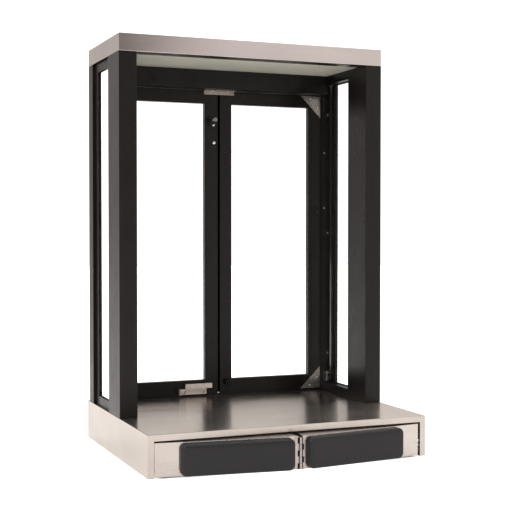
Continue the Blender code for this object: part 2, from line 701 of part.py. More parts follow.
def push_yoke(finish):
    """A T of flat bar: its nose stands behind the centre hinge, and its pins work in the crank slots."""
    nose = HINGE_Y + KNUCKLE_RADIUS + 0.0005
    pin_y = SWING_Y - CRANK_REACH * math.tan(SWING / 2)
    bar_back = pin_y + YOKE_BAR_DEPTH / 2
    half = YOKE_HALF_WIDTH
    origin = (0, nose, YOKE_LOW)
    low = (-half, nose + 0.010, YOKE_LOW)
    yoke = box("push_yoke", low, (half, bar_back, YOKE_HIGH), finish, origin)
    add_box(yoke, (-0.011, nose, 0.020), (0.011, nose + 0.018, 0.070))
    reach = SWING_X - CRANK_REACH + 0.009
    bar_low = (-reach, bar_back - YOKE_BAR_DEPTH, YOKE_LOW + 0.0002)
    add_box(yoke, bar_low, (reach, bar_back - 0.0002, YOKE_HIGH - 0.0002))
    for side in (-1, 1):
        pin = circle((side * (SWING_X - CRANK_REACH), pin_y), CRANK_PIN_RADIUS, 16)
        add(yoke, prism("guide_crank_pin", pin, "Z", YOKE_HIGH - 0.004, CRANK_HIGH + 0.006))


def build():
    clear_scene()
    stainless = look("stainless", (0.60, 0.56, 0.52), 0.28, 1.0)
    black = look("black_anodised", (0.022, 0.020, 0.020), 0.38, 0.6)
    glass = look("glass", (0.82, 0.90, 0.88), 0.03, 0.0, 0.25)
    seal = look("seal_rubber", (0.012, 0.012, 0.012), 0.75)
    steel = look("plated_steel", (0.52, 0.48, 0.43), 0.35, 1.0)
    spring = look("spring_steel", (0.30, 0.30, 0.31), 0.40, 1.0)
    nylon = look("nylon", (0.75, 0.74, 0.70), 0.55)
    rubber = look("black_rubber", (0.015, 0.015, 0.015), 0.60)
    enamel = look("ceiling_enamel", (0.52, 0.53, 0.47), 0.50)
    vinyl = look("pad_vinyl", (0.045, 0.045, 0.047), 0.55)
    looks = {"frame": black, "glass": glass, "seal": seal, "steel": steel, "spring": spring, "nylon": nylon}
    looks["rubber"] = rubber

    base_shell(stainless)
    header_cap(stainless)
    frame_rails(black)
    ceiling_panel(enamel)
    door_stop(steel)
    yoke_guide("yoke_guide_front", FACE_Y - 0.150, steel)
    yoke_guide("yoke_guide_back", FACE_Y + 0.170, steel)
    bumper_end_bracket(steel)
    bumper_slot_bracket(steel)
    for word, side in (("left", -1), ("right", 1)):
        post(f"front_post_{word}", side, FACE_Y, FACE_Y + FRONT_POST_DEPTH, black)
        post(f"back_post_{word}", side, BACK_POST_FRONT, HEADER_BACK, black)
        side_wall(word, side, black, glass, seal)
        top_pivot_pin(word, side, steel)
        shaft_bush(word, side, nylon)
        jamb_catch(word, side, steel)
        leaf(word, side, looks)
        gusset(f"top_gusset_{word}", side, LEAF_HIGH - 0.0005, -1, steel)
        gusset(f"bottom_gusset_{word}", side, LEAF_LOW + 0.0005, 1, steel)
        shaft_set(word, side, looks)
        bumper_panel(word, side, stainless)
        bumper_pad(word, side, vinyl)
        hinge_leaf(word, side, stainless)
    lock(looks)
    slide_latch(looks)
    rubber_stop(rubber)
    hinge_pin(steel)
    push_yoke(steel)


build()
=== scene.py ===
"""Looks of the pass-through service window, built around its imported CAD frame.

Metres, +Z up, and -Y is the front.
"""

import json
import math

import bmesh
import bpy
from mathutils import Matrix, Vector

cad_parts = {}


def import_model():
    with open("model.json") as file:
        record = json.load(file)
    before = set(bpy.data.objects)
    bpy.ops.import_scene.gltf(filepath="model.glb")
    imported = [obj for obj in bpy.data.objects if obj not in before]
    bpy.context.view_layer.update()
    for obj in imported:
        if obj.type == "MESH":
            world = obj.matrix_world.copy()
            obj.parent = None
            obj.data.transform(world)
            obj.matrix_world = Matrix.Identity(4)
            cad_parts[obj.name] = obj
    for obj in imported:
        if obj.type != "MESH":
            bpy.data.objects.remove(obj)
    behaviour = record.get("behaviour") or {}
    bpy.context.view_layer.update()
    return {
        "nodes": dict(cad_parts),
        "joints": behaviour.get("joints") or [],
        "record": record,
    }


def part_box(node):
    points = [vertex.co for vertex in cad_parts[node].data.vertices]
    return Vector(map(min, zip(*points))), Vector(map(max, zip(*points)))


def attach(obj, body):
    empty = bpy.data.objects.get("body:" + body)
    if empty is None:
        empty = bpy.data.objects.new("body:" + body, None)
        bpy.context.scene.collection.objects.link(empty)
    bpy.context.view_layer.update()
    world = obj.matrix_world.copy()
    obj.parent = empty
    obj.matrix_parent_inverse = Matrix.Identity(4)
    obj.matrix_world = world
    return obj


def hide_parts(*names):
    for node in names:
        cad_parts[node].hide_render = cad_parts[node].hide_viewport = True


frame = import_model()
NODES = frame["nodes"]
JOINTS = {joint["name"]: joint for joint in frame["joints"]}

SIDES = (("left", -1), ("right", 1))
FRONTWARD = (0, -1, 0)
DOWNWARD = (0, 0, -1)
SMOOTH_ANGLE = math.radians(38)  # faces that meet at less than this are shaded as one
FINE_STEPS = 40  # sides of a turned shape
SMALL_STEPS = 28  # sides of a screw head
HAIR = 0.0001  # a small gap between a piece and what it lies beside

NOISE_RANGE = (0.3, 0.7)  # where most of a noise's values lie
WHITE_LEVEL = 1.4  # the strength at which the surroundings read as plain white

# ---------------------------------------------------------------- node helpers


def new_material(name, roughness, metallic=0.0, **constants):
    """A material, its node tree and its shader, with the given Principled sockets set."""
    made = bpy.data.materials.new(name)
    made.use_nodes = True
    tree = made.node_tree
    shader = tree.nodes["Principled BSDF"]
    shader.inputs["Roughness"].default_value = roughness
    shader.inputs["Metallic"].default_value = metallic
    for socket, value in constants.items():
        shader.inputs[socket.replace("_", " ")].default_value = value
    return made, tree, shader


def node(tree, kind, inputs=None, **settings):
    """A node with its settings made and its inputs linked to sockets or set to values."""
    made = tree.nodes.new(kind)
    for key, value in settings.items():
        setattr(made, key, value)
    for key, value in (inputs or {}).items():
        if isinstance(value, bpy.types.NodeSocket):
            tree.links.new(value, made.inputs[key])
        else:
            made.inputs[key].default_value = value
    return made


def noise(tree, scale, detail=3.0, rough=0.5, offset=(0, 0, 0)):
    """Noise over the object's own coordinates; scale is one number for each axis."""
    place = node(tree, "ShaderNodeTexCoord").outputs["Object"]
    spaced = node(tree, "ShaderNodeMapping", {"Vector": place, "Scale": scale, "Location": offset})
    inputs = {"Vector": spaced.outputs["Vector"], "Scale": 1.0, "Detail": detail, "Roughness": rough}
    return node(tree, "ShaderNodeTexNoise", inputs).outputs["Fac"]


def ramp(tree, value, start, end, low=0.0, high=1.0, kind="LINEAR"):
    """A value between start and end, carried onto low to high and held beyond them."""
    inputs = {"Value": value, "From Min": start, "From Max": end, "To Min": low, "To Max": high}
    return node(tree, "ShaderNodeMapRange", inputs, interpolation_type=kind).outputs["Result"]


def spread(tree, value, low=0.0, high=1.0):
    """A noise carried onto low to high."""
    return ramp(tree, value, *NOISE_RANGE, low, high)


def maths(tree, operation, first, second=0.0):
    return node(tree, "ShaderNodeMath", {0: first, 1: second}, operation=operation).outputs["Value"]


def blend_colours(tree, factor, first, second):
    """A colour between first and second; each is a colour or another node's socket."""
    made = node(tree, "ShaderNodeMix", {"Factor": factor}, data_type="RGBA")
    colour_inputs = [s for s in made.inputs if s.type == "RGBA"]
    for socket, colour in zip(colour_inputs, (first, second)):
        if isinstance(colour, bpy.types.NodeSocket):
            tree.links.new(colour, socket)
        else:
            socket.default_value = (*colour, 1.0)
    return [s for s in made.outputs if s.type == "RGBA"][0]


def mix_shaders(tree, factor, first, second):
    """Two shader sockets mixed: first where factor is 0, second where it is 1."""
    made = node(tree, "ShaderNodeMixShader", {"Fac": factor})
    tree.links.new(first, made.inputs[1])
    tree.links.new(second, made.inputs[2])
    return made.outputs["Shader"]


def add_bump(tree, shader, height, distance, strength, below=None):
    """Bump on the shader's normal, on top of an earlier bump's normal if one is given."""
    inputs = {"Height": height, "Distance": distance, "Strength": strength}
    if below is not None:
        inputs["Normal"] = below
    made = node(tree, "ShaderNodeBump", inputs)
    tree.links.new(made.outputs["Normal"], shader.inputs["Normal"])
    return made.outputs["Normal"]


def vary(tree, shader, **sockets):
    """Links the shader's named sockets to what they take their value from."""
    for socket, value in sockets.items():
        tree.links.new(value, shader.inputs[socket.replace("_", " ")])


def scaled(colour, factor):
    return tuple(factor * channel for channel in colour)


# ---------------------------------------------------------------- materials


def brushed_metal(name, light, dark, roughness, grain, anisotropy, lined=0.06):
    """Sheet brushed along X: fine lines, cloudy handling marks, reflections stretched across the lines.

    grain is the lines' noise scale, and lined is how far the lines darken the tone.
    """
    made, tree, shader = new_material(name, roughness, 1.0, Anisotropic=anisotropy)
    lines = noise(tree, grain, detail=1.0)
    clouds = noise(tree, (4, 6, 8), rough=0.55)
    tone = blend_colours(tree, spread(tree, clouds), dark, light)
    streaked = blend_colours(tree, spread(tree, lines, 0.0, lined), tone, scaled(dark, 0.5))
    marks = noise(tree, (5, 12, 14), rough=0.6, offset=(3, 1, 2))
    dulled = spread(tree, marks, roughness - 0.03, roughness + 0.04)
    across = node(tree, "ShaderNodeCombineXYZ", {"X": 0.0, "Y": 0.05, "Z": 1.0}).outputs["Vector"]
    vary(tree, shader, Base_Color=streaked, Roughness=dulled, Tangent=across)
    add_bump(tree, shader, lines, distance=0.00001, strength=0.25)
    return made


def anodised(name, colour, worn, roughness):
    """Black anodised extrusion: die lines along its length, and a little dust in the tone and the sheen."""
    made, tree, shader = new_material(name, roughness, Specular_IOR_Level=0.28)
    lines = noise(tree, (260, 260, 1.2), detail=1.0)
    bands = noise(tree, (50, 50, 0.8), detail=1.0)
    dust = noise(tree, (18, 18, 12), detail=5.0, rough=0.7)
    tone = blend_colours(tree, spread(tree, bands), colour, worn)
    dusty = blend_colours(tree, spread(tree, dust, 0.0, 0.3), tone, scaled(worn, 1.7))
    dulled = spread(tree, dust, roughness - 0.05, roughness + 0.06)
    vary(tree, shader, Base_Color=dusty, Roughness=dulled)
    add_bump(tree, shader, lines, distance=0.00002, strength=0.3)
    return made


def clear_glass(name, tint):
    """Float glass with very faint smears."""
    made, tree, shader = new_material(name, 0.0, IOR=1.52, Transmission_Weight=1.0)
    smears = noise(tree, (9, 9, 4))
    vary(tree, shader, Base_Color=blend_colours(tree, spread(tree, smears), tint, (0.99, 1.0, 0.995)))
    return made


def glowing_white_film(name):
    """Thin white window film that glows: painted light, a self-lit white sheet to the camera, and clear to
    every other ray.
    """
    # painted light: the emission makes the film glow white though it is no lamp
    made, tree, shader = new_material(name, 0.4, Emission_Strength=0.9)
    cloud = noise(tree, (6, 6, 3), detail=2.0)
    white = blend_colours(tree, spread(tree, cloud), (0.97, 0.97, 0.965), (1.0, 1.0, 1.0))
    vary(tree, shader, Base_Color=white, Emission_Color=white)
    clear = node(tree, "ShaderNodeBsdfTransparent").outputs["BSDF"]
    seen = node(tree, "ShaderNodeLightPath").outputs["Is Camera Ray"]
    both = mix_shaders(tree, seen, clear, shader.outputs["BSDF"])
    tree.links.new(both, tree.nodes["Material Output"].inputs["Surface"])
    return made


def rubber(name, colour, roughness):
    """Plain rubber: a fine speckle, and patches of tone and sheen."""
    made, tree, shader = new_material(name, roughness, Specular_IOR_Level=0.25)
    speck = noise(tree, (600, 600, 600), detail=2.0)
    patch = noise(tree, (30, 30, 30), detail=4.0)
    tone = blend_colours(tree, spread(tree, patch), colour, scaled(colour, 1.5))
    dulled = spread(tree, patch, roughness - 0.05, roughness + 0.08)
    vary(tree, shader, Base_Color=tone, Roughness=dulled)
    add_bump(tree, shader, speck, distance=0.00004, strength=0.5)
    return made


def pad_skin(name):
    """Integral-skin foam: charcoal, a fine pebble grain, and duller patches where it is leaned on."""
    made, tree, shader = new_material(name, 0.5, Specular_IOR_Level=0.32)
    place = node(tree, "ShaderNodeTexCoord").outputs["Object"]
    grain = node(tree, "ShaderNodeTexVoronoi", {"Vector": place, "Scale": 420.0}, feature="SMOOTH_F1")
    patch = noise(tree, (18, 18, 26), detail=5.0, rough=0.65)
    tone = blend_colours(tree, spread(tree, patch), (0.0165, 0.0162, 0.0180), (0.0220, 0.0215, 0.0235))
    vary(tree, shader, Base_Color=tone, Roughness=spread(tree, patch, 0.40, 0.54))
    wrinkle = add_bump(tree, shader, noise(tree, (60, 60, 80)), distance=0.0003, strength=0.25)
    add_bump(tree, shader, grain.outputs["Distance"], distance=0.00006, strength=0.6, below=wrinkle)
    return made


def enamel(name, light, dark, roughness):
    """Painted or moulded plastic: soft patches of tone, and a faint orange peel."""
    made, tree, shader = new_material(name, roughness, Specular_IOR_Level=0.3)
    patch = noise(tree, (7, 7, 7), detail=4.0)
    peel = noise(tree, (300, 300, 300), detail=1.0)
    tone = blend_colours(tree, spread(tree, patch), dark, light)
    dulled = spread(tree, patch, roughness - 0.06, roughness + 0.06)
    vary(tree, shader, Base_Color=tone, Roughness=dulled)
    add_bump(tree, shader, peel, distance=0.00004, strength=0.3)
    return made


def plated(name, light, dark, roughness, mottled=150.0, metallic=1.0):
    """Plated or raw hardware: a mottled tone, and fine scratches. mottled is the mottling's noise scale."""
    made, tree, shader = new_material(name, roughness, metallic)
    mottle = noise(tree, (mottled, mottled, mottled), detail=4.0, rough=0.7)
    scratch = noise(tree, (700, 90, 700), detail=2.0)
    tone = blend_colours(tree, ramp(tree, mottle, 0.35, 0.65), dark, light)
    dulled = spread(tree, mottle, roughness - 0.08, roughness + 0.10)
    vary(tree, shader, Base_Color=tone, Roughness=dulled)
    add_bump(tree, shader, scratch, distance=0.00004, strength=0.4)
    return made


SHEET_GRAIN = (2.5, 420, 420)
FOLDED_GRAIN = (3, 320, 380)

STAINLESS = brushed_metal(
    "brushed_stainless",
    light=(0.63, 0.575, 0.53),
    dark=(0.56, 0.51, 0.465),
    roughness=0.23,
    grain=SHEET_GRAIN,
    anisotropy=0.7,
)
HEADER_STEEL = brushed_metal(
    "header_stainless",
    light=(0.73, 0.67, 0.655),
    dark=(0.67, 0.61, 0.595),
    roughness=0.2,
    grain=SHEET_GRAIN,
    anisotropy=0.7,
)
PANEL_STEEL = brushed_metal(
    "bumper_stainless",
    light=(0.67, 0.62, 0.58),
    dark=(0.58, 0.53, 0.50),
    roughness=0.25,
    grain=FOLDED_GRAIN,
    anisotropy=0.4,
    lined=0.12,
)
HINGE_STEEL = brushed_metal(
    "hinge_stainless",
    light=(0.58, 0.53, 0.50),
    dark=(0.46, 0.42, 0.39),
    roughness=0.28,
    grain=FOLDED_GRAIN,
    anisotropy=0.3,
    lined=0.12,
)
GUSSET_STEEL = plated("gusset_steel", (0.68, 0.63, 0.58), (0.24, 0.22, 0.205), 0.40, mottled=170.0)
LATCH_STEEL = plated(
    "latch_steel", (1.0, 0.92, 0.85), (0.90, 0.80, 0.72), 0.42, mottled=120.0, metallic=0.1
)
STOP_STEEL = plated(
    "stop_steel", (0.36, 0.315, 0.285), (0.24, 0.21, 0.19), 0.40, mottled=120.0, metallic=0.6
)
# painted shade: the jamb catches get a darker copy of the plated steel because they sit in shadow
CATCH_STEEL_SHADED = plated("catch_steel_shaded", (0.34, 0.30, 0.26), (0.13, 0.115, 0.10), 0.36, mottled=160.0)
SCREW_STEEL = plated("screw_steel", (0.92, 0.88, 0.80), (0.70, 0.64, 0.56), 0.25, mottled=90.0)
HARDWARE = plated("plated_steel", (0.46, 0.42, 0.37), (0.24, 0.215, 0.19), 0.34)
SPRING = plated("spring_wire", (0.30, 0.30, 0.31), (0.18, 0.18, 0.18), 0.38)
BLACK = anodised("black_anodised", (0.0062, 0.0048, 0.0046), (0.0086, 0.0070, 0.0067), 0.31)
BLACK_METAL = anodised("lock_black", (0.003, 0.003, 0.003), (0.006, 0.0055, 0.0055), 0.25)
GLASS = clear_glass("clear_glass", (0.98, 0.995, 0.985))
GLOWING_FILM = glowing_white_film("glowing_white_film")
SEAL = rubber("seal_rubber", (0.004, 0.004, 0.004), 0.6)
STOP_RUBBER = rubber("stop_rubber", (0.004, 0.004, 0.004), 0.45)
PAD = pad_skin("pad_skin")
CEILING = enamel("ceiling_enamel", (0.61, 0.60, 0.52), (0.55, 0.54, 0.46), 0.5)
NYLON = enamel("nylon", (0.30, 0.29, 0.27), (0.24, 0.23, 0.21), 0.55)

BY_SLOT = {
    "stainless": STAINLESS,
    "black_aluminium": BLACK,
    "glass": GLASS,
    "seal_rubber": SEAL,
    "ceiling_enamel": CEILING,
    "plated_steel": HARDWARE,
    "nylon": NYLON,
    "black_metal": BLACK_METAL,
    "black_rubber": STOP_RUBBER,
    "pad_vinyl": PAD,
    "spring_steel": SPRING,
}
BY_NODE = {
    "header_cap": HEADER_STEEL,
    "bumper_panel_left": PANEL_STEEL,
    "bumper_panel_right": PANEL_STEEL,
    "centre_hinge_left": HINGE_STEEL,
    "centre_hinge_right": HINGE_STEEL,
    "latch_base": LATCH_STEEL,
    "jamb_catch_left": CATCH_STEEL_SHADED,
    "jamb_catch_right": CATCH_STEEL_SHADED,
    "latch_bar": LATCH_STEEL,
}
for part in frame["record"]["subparts"]:
    shown = NODES[part["node"]]
    shown.data.materials.clear()
    shown.data.materials.append(BY_NODE.get(part["node"], BY_SLOT[part["material_slot"]]))

# ---------------------------------------------------------------- mesh helpers

AXES = {
    "X": lambda a, b, t: (t, a, b),
    "Y": lambda a, b, t: (a, t, b),
    "Z": lambda a, b, t: (a, b, t),
}


def arc(centre, radius, start, end, steps):
    """The points of an arc, from start to end in degrees."""
    points = []
    for step in range(steps + 1):
        angle = math.radians(start + (end - start) * step / steps)
        points.append((centre[0] + radius * math.cos(angle), centre[1] + radius * math.sin(angle)))
    return points


def circle(centre, radius, steps):
    return arc(centre, radius, 0, 360 - 360 / steps, steps - 1)


def rounded(low, high, radius, steps):
    """A rectangle with round corners, each of the given number of steps."""
    corners = (
        ((high[0] - radius, high[1] - radius), 0),
        ((low[0] + radius, high[1] - radius), 90),
        ((low[0] + radius, low[1] + radius), 180),
        ((high[0] - radius, low[1] + radius), 270),
    )
    points = []
    for centre, start in corners:
        points += arc(centre, radius, start, start + 90, steps)
    return points


def rectangle(left, right, bottom, top):
    return [(left, bottom), (right, bottom), (right, top), (left, top)]


def slab(outline, axis, low, high, rim=0.0):
    """A bmesh: an outline extruded along an axis, its edges bevelled by rim."""
    shape = bmesh.new()
    corner = AXES[axis]
    bottom = [shape.verts.new(corner(a, b, low)) for a, b in outline]
    top = [shape.verts.new(corner(a, b, high)) for a, b in outline]
    shape.faces.new(bottom)
    shape.faces.new(list(reversed(top)))
    for index in range(len(outline)):
        after = (index + 1) % len(outline)
        shape.faces.new((bottom[index], top[index], top[after], bottom[after]))
    bmesh.ops.recalc_face_normals(shape, faces=shape.faces)
    if rim:
        sharp = [edge for edge in shape.edges if edge.calc_face_angle(0) > math.radians(30)]
        bmesh.ops.bevel(shape, geom=sharp, offset=rim, segments=2, profile=0.5, affect="EDGES")
    return shape


def moved(shape, matrix):
    """A bmesh after a move, with its faces turned outward again in case the move mirrors it."""
    bmesh.ops.transform(shape, matrix=matrix, verts=shape.verts)
    bmesh.ops.recalc_face_normals(shape, faces=shape.faces)
    return shape


def along_axis(point, axis):
    """The matrix that takes the origin to a point, and +Z to an axis."""
    turned = Vector((0, 0, 1)).rotation_difference(Vector(axis)).to_matrix().to_4x4()
    return Matrix.Translation(point) @ turned


def lathe(profile, point, axis, steps=FINE_STEPS):
    """A bmesh turned from (radius, height) pairs, closed at both ends; height runs from point along axis."""
    shape = bmesh.new()
    rings = []
    for radius, height in profile:
        if radius <= 0:
            rings.append([shape.verts.new((0, 0, height))])
            continue
        turn = [2 * math.pi * step / steps for step in range(steps)]
        rings.append([shape.verts.new((radius * math.cos(a), radius * math.sin(a), height)) for a in turn])
    for lower, upper in zip(rings, rings[1:]):
        for step in range(steps):
            after = (step + 1) % steps
            below = (lower[step % len(lower)], lower[after % len(lower)])
            above = (upper[after % len(upper)], upper[step % len(upper)])
            shape.faces.new(list(dict.fromkeys(below + above)))
    bmesh.ops.recalc_face_normals(shape, faces=shape.faces)
    bmesh.ops.transform(shape, matrix=along_axis(point, axis), verts=shape.verts)
    return shape


def object_of(name, *shapes):
    """One mesh object from one or more bmeshes."""
    whole = bmesh.new()
    for shape in shapes:
        part = bpy.data.meshes.new("part")
        shape.to_mesh(part)
        shape.free()
        whole.from_mesh(part)
        bpy.data.meshes.remove(part)
    mesh = bpy.data.meshes.new(name)
    whole.to_mesh(mesh)
    whole.free()
    made = bpy.data.objects.new(name, mesh)
    bpy.context.scene.collection.objects.link(made)
    mesh.shade_smooth()
    mesh.set_sharp_from_angle(angle=SMOOTH_ANGLE)
    return made


def finish_piece(made, body, material, replaced=()):
    """Gives a piece its material and its body, and hides the CAD nodes that it stands for."""
    made.data.materials.append(material)
    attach(made, body)
    if replaced:
        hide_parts(*replaced)


def carve(made, tools):
    """Cuts the tools out of an object, keeps the resulting mesh, and removes the tools."""
    for tool in tools:
        step = made.modifiers.new("cut", "BOOLEAN")
        step.operation = "DIFFERENCE"
        step.object = tool
        step.solver = "EXACT"
    bpy.context.view_layer.update()
    graph = bpy.context.evaluated_depsgraph_get()
    result = bpy.data.meshes.new_from_object(made.evaluated_get(graph))
    made.modifiers.clear()
    made.data = result
    for tool in tools:
        bpy.data.objects.remove(tool)
    made.data.shade_smooth()
    made.data.set_sharp_from_angle(angle=SMOOTH_ANGLE)


def screw_head(centre, axis, radius, height):
    """A pan head as one turned shape: a dome on a short rim, sunk a little into what it holds."""
    sink = 0.0004
    rim = 0.25  # the rim's share of the height
    profile = [(0, -sink), (radius * 0.96, -sink), (radius, height * rim)]
    for step in range(1, 6):
        angle = math.radians(15 * step)
        profile.append((radius * math.cos(angle), height * (rim + (1 - rim) * math.sin(angle))))
    profile.append((0, height))
    return lathe(profile, centre, axis, SMALL_STEPS)


def cross_tools(name, centre, axis, radius, height):
    """Two thin bars that cut a cross recess into a screw head."""
    reach = radius * 0.62
    half = radius * 0.13
    tools = []
    for turn in (25, 115):
        bar = slab(rectangle(-reach, reach, -half, half), "Z", height * 0.45, height * 1.6)
        place = along_axis(centre, axis) @ Matrix.Rotation(math.radians(turn), 4, "Z")
        bmesh.ops.transform(bar, matrix=place, verts=bar.verts)
        tools.append(object_of(f"{name}_tool_{turn}", bar))
    return tools


def screw(name, centre, axis, radius, height, body, material):
    made = object_of(name, screw_head(centre, axis, radius, height))
    carve(made, cross_tools(name, centre, axis, radius, height))
    finish_piece(made, body, material)


def screw_ring(name, centre, axis, radius, body):
    """The dark shadow line round a screw head."""
    thick = 0.00012
    profile = [(0, 0), (radius * 1.3, 0), (radius * 1.25, thick), (0, thick)]
    ring = lathe(profile, centre, axis, SMALL_STEPS)
    finish_piece(object_of(name, ring), body, SEAL)


def bumper_place(side):
    """From a bumper panel's own frame, X along the panel from the hinge line, to the world."""
    slope = math.radians(JOINTS["left_bumper_fold"]["range_deg"][1] - 0.01)
    hinge = JOINTS["right_bumper_fold"]["pos_m"]
    mirrored = Matrix.Diagonal((side, 1, 1, 1))
    return mirrored @ Matrix.Translation((0, hinge[1], 0)) @ Matrix.Rotation(slope, 4, "Z")


# ---------------------------------------------------------------- pieces

PLATE = 0.002
PAD_CORNER = 0.0135
PAD_EDGE = 0.0085
PAD_CROWN = 0.001
GUSSET_SCREWS = ((0.0315, 0.0075), (0.0082, 0.029))  # inward and along from the plate's corner
STOP_SCREWS = (-0.0215, 0.0215)
LATCH_SCREWS = (-0.1008, -0.0479)
LATCH_SCREW_HEIGHT = 0.1122
# Inward from the post's inner edge, and up from the ground: three near the leaf, two at the edge.
JAMB_SCREWS = ((0.0145, 0.868), (0.0145, 0.5385), (0.0145, 0.202), (0.004, 0.762), (0.004, 0.6085))
INDICATOR_HEIGHT = 0.8318
BUTTON_HEIGHT = 0.7825
LEAF_ENDS = (0.0004, 0.3005)  # a leaf's reach from the middle, less a hair
WIPER_TOP = 0.1036
PANE_STRIP = 0.0285  # the side frame's upright along the back post
PANE_LOW = 0.1214
PANE_HIGH = 0.9485
BARRELS = 5
STRIP_REACH = 0.345
SOFTENED = {"base_shell": 0.0006, "header_cap": 0.0006, "latch_bar": 0.0005, "latch_base": 0.0003}


def pad_rings(low, high):
    """The pad's outline from its back rim to the middle of its face, as pairs of inset and depth."""
    edge_steps = 7
    face = low.y + PAD_CROWN
    rings = [(0.0012, high.y), (0.0, high.y - 0.0016), (0.0, low.y + PAD_EDGE + PAD_CROWN)]
    for step in range(1, edge_steps + 1):
        angle = math.radians(90 * step / edge_steps)
        rings.append((PAD_EDGE * (1 - math.cos(angle)), face + PAD_EDGE * (1 - math.sin(angle))))
    for inset in (0.011, 0.015, 0.020, 0.026, 0.032):
        rings.append((inset, face))
    return rings


def pad_piece(word, side):
    """A moulded pad: rounded corners, a crowned face that pulls in at the corners, and a rolled edge."""
    cad = f"bumper_pad_{word}"
    place = bumper_place(side)
    to_panel = place.inverted()
    corners = [to_panel @ v.co for v in NODES[cad].data.vertices]
    low = Vector([min(c[i] for c in corners) for i in range(3)])
    high = Vector([max(c[i] for c in corners) for i in range(3)])
    half_length = (high.x - low.x) / 2
    half_height = (high.z - low.z) / 2
    shape = bmesh.new()
    loops = []
    for inset, level in pad_rings(low, high):
        radius = max(PAD_CORNER - inset, 0.002)
        outline = rounded((low.x + inset, low.z + inset), (high.x - inset, high.z - inset), radius, 9)
        loop = []
        for x, z in outline:
            across = (x - low.x - half_length) / half_length
            up = (z - low.z - half_height) / half_height
            crown = PAD_CROWN * (1 - across**4) * (1 - up**4) if inset >= PAD_EDGE else 0.0
            loop.append(shape.verts.new((x, level - crown, z)))
        loops.append(loop)
    for lower, upper in zip(loops, loops[1:]):
        for index in range(len(lower)):
            after = (index + 1) % len(lower)
            shape.faces.new((lower[index], lower[after], upper[after], upper[index]))
    shape.faces.new(loops[0])
    shape.faces.new(loops[-1])
    bmesh.ops.recalc_face_normals(shape, faces=shape.faces)
    made = object_of(f"pad_{word}", moved(shape, place))
    made.data.set_sharp_from_angle(angle=math.radians(60))
    finish_piece(made, f"{word}_bumper", PAD, [cad])


def ringed_screw(name, index, centre, axis, radius, height, body):
    """A bright screw with a dark shadow line round its head."""
    screw_ring(f"{name}_ring_{index}", centre, axis, radius, body)
    screw(f"{name}_screw_{index}", centre, axis, radius, height, body, SCREW_STEEL)


def gusset_piece(end, word, side, rise):
    """A triangular corner plate with softened edges and two pan-head screws."""
    name = f"{end}_gusset_{word}"
    body = f"{word}_leaf"
    low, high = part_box(name)
    plate_front = high.y - PLATE
    corner = (low.x if side < 0 else high.x, low.z if rise > 0 else high.z)
    leg = high.z - low.z
    outline = [corner, (corner[0] - side * leg, corner[1]), (corner[0], corner[1] + rise * leg)]
    plate = object_of(f"{name}_plate", slab(outline, "Y", plate_front, high.y, 0.0005))
    finish_piece(plate, body, GUSSET_STEEL, [name])
    for index, (inward, along) in enumerate(GUSSET_SCREWS, 1):
        centre = (corner[0] - side * inward, plate_front, corner[1] + rise * along)
        ringed_screw(name, index, centre, FRONTWARD, 0.0031, plate_front - low.y, body)


def stop_piece():
    """The leaves' stop: a folded angle with a bend radius, and its two screws."""
    low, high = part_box("door_stop_bracket")
    bend = 0.0022
    under = high.z - PLATE
    section = [(low.y, under), (low.y, high.z)]
    section += arc((high.y - bend, high.z - bend), bend, 90, 0, 5)
    section += [(high.y, low.z), (high.y - PLATE, low.z), (high.y - PLATE, under)]
    made = object_of("door_stop_angle", slab(section, "X", low.x, high.x, 0.0003))
    finish_piece(made, "frame", STOP_STEEL, ["door_stop_bracket"])
    for index, x in enumerate(STOP_SCREWS, 1):
        ringed_screw("door_stop", index, (x, low.y + 0.0065, under), DOWNWARD, 0.0038, 0.0034, "frame")


def latch_screws():
    """The slide latch's two screws, with a shadow line round each head."""
    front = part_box("latch_base")[0].y - HAIR
    for index, x in enumerate(LATCH_SCREWS, 1):
        ringed_screw("latch", index, (x, front, LATCH_SCREW_HEIGHT), FRONTWARD, 0.0029, 0.0012, "left_leaf")


def jamb_screws():
    """Small screws down the front faces of the back posts."""
    for word, side in SIDES:
        low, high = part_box(f"back_post_{word}")
        inner = high.x if side < 0 else low.x
        for index, (inward, z) in enumerate(JAMB_SCREWS, 1):
            centre = (inner + side * inward, low.y, z)
            screw(f"jamb_screw_{word}_{index}", centre, FRONTWARD, 0.0028, 0.0013, "frame", STOP_STEEL)


def leaf_buttons():
    """The oval indicator and the round button under the lock."""
    low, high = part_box("lock_body")
    face = high.y
    x = (low.x + high.x) / 2 + 0.0065
    oval = [(x + 0.0033 * across, INDICATOR_HEIGHT + 0.0058 * up) for across, up in circle((0, 0), 1.0, 32)]
    made = object_of("lock_indicator", slab(oval, "Y", face - 0.0016, face, 0.0004))
    finish_piece(made, "left_leaf", SCREW_STEEL)
    centre = (x + 0.0015, face, BUTTON_HEIGHT)
    ring = [(0, 0), (0.0082, 0), (0.0082, 0.0008), (0.0074, 0.0014), (0, 0.0014)]
    made = object_of("latch_button_ring", lathe(ring, centre, FRONTWARD))
    finish_piece(made, "left_leaf", SEAL)
    dome = [(0, 0.001), (0.0046, 0.001), (0.0044, 0.0019), (0.0032, 0.0025), (0.0016, 0.0028), (0, 0.0029)]
    made = object_of("latch_button", lathe(dome, centre, FRONTWARD))
    finish_piece(made, "left_leaf", SCREW_STEEL)


def leaf_wiper(word, side):
    """A thin rubber wiper behind the leaf's bottom strip, down to just over the shelf."""
    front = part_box(f"leaf_frame_{word}")[0].y + 0.0062
    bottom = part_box("base_shell")[1].z + 0.00015
    section = [(front, bottom), (front + 0.0016, bottom), (front + 0.0022, WIPER_TOP), (front, WIPER_TOP)]
    reach = sorted(side * end for end in LEAF_ENDS)
    made = object_of(f"leaf_wiper_{word}", slab(section, "X", *reach))
    finish_piece(made, f"{word}_leaf", SEAL)


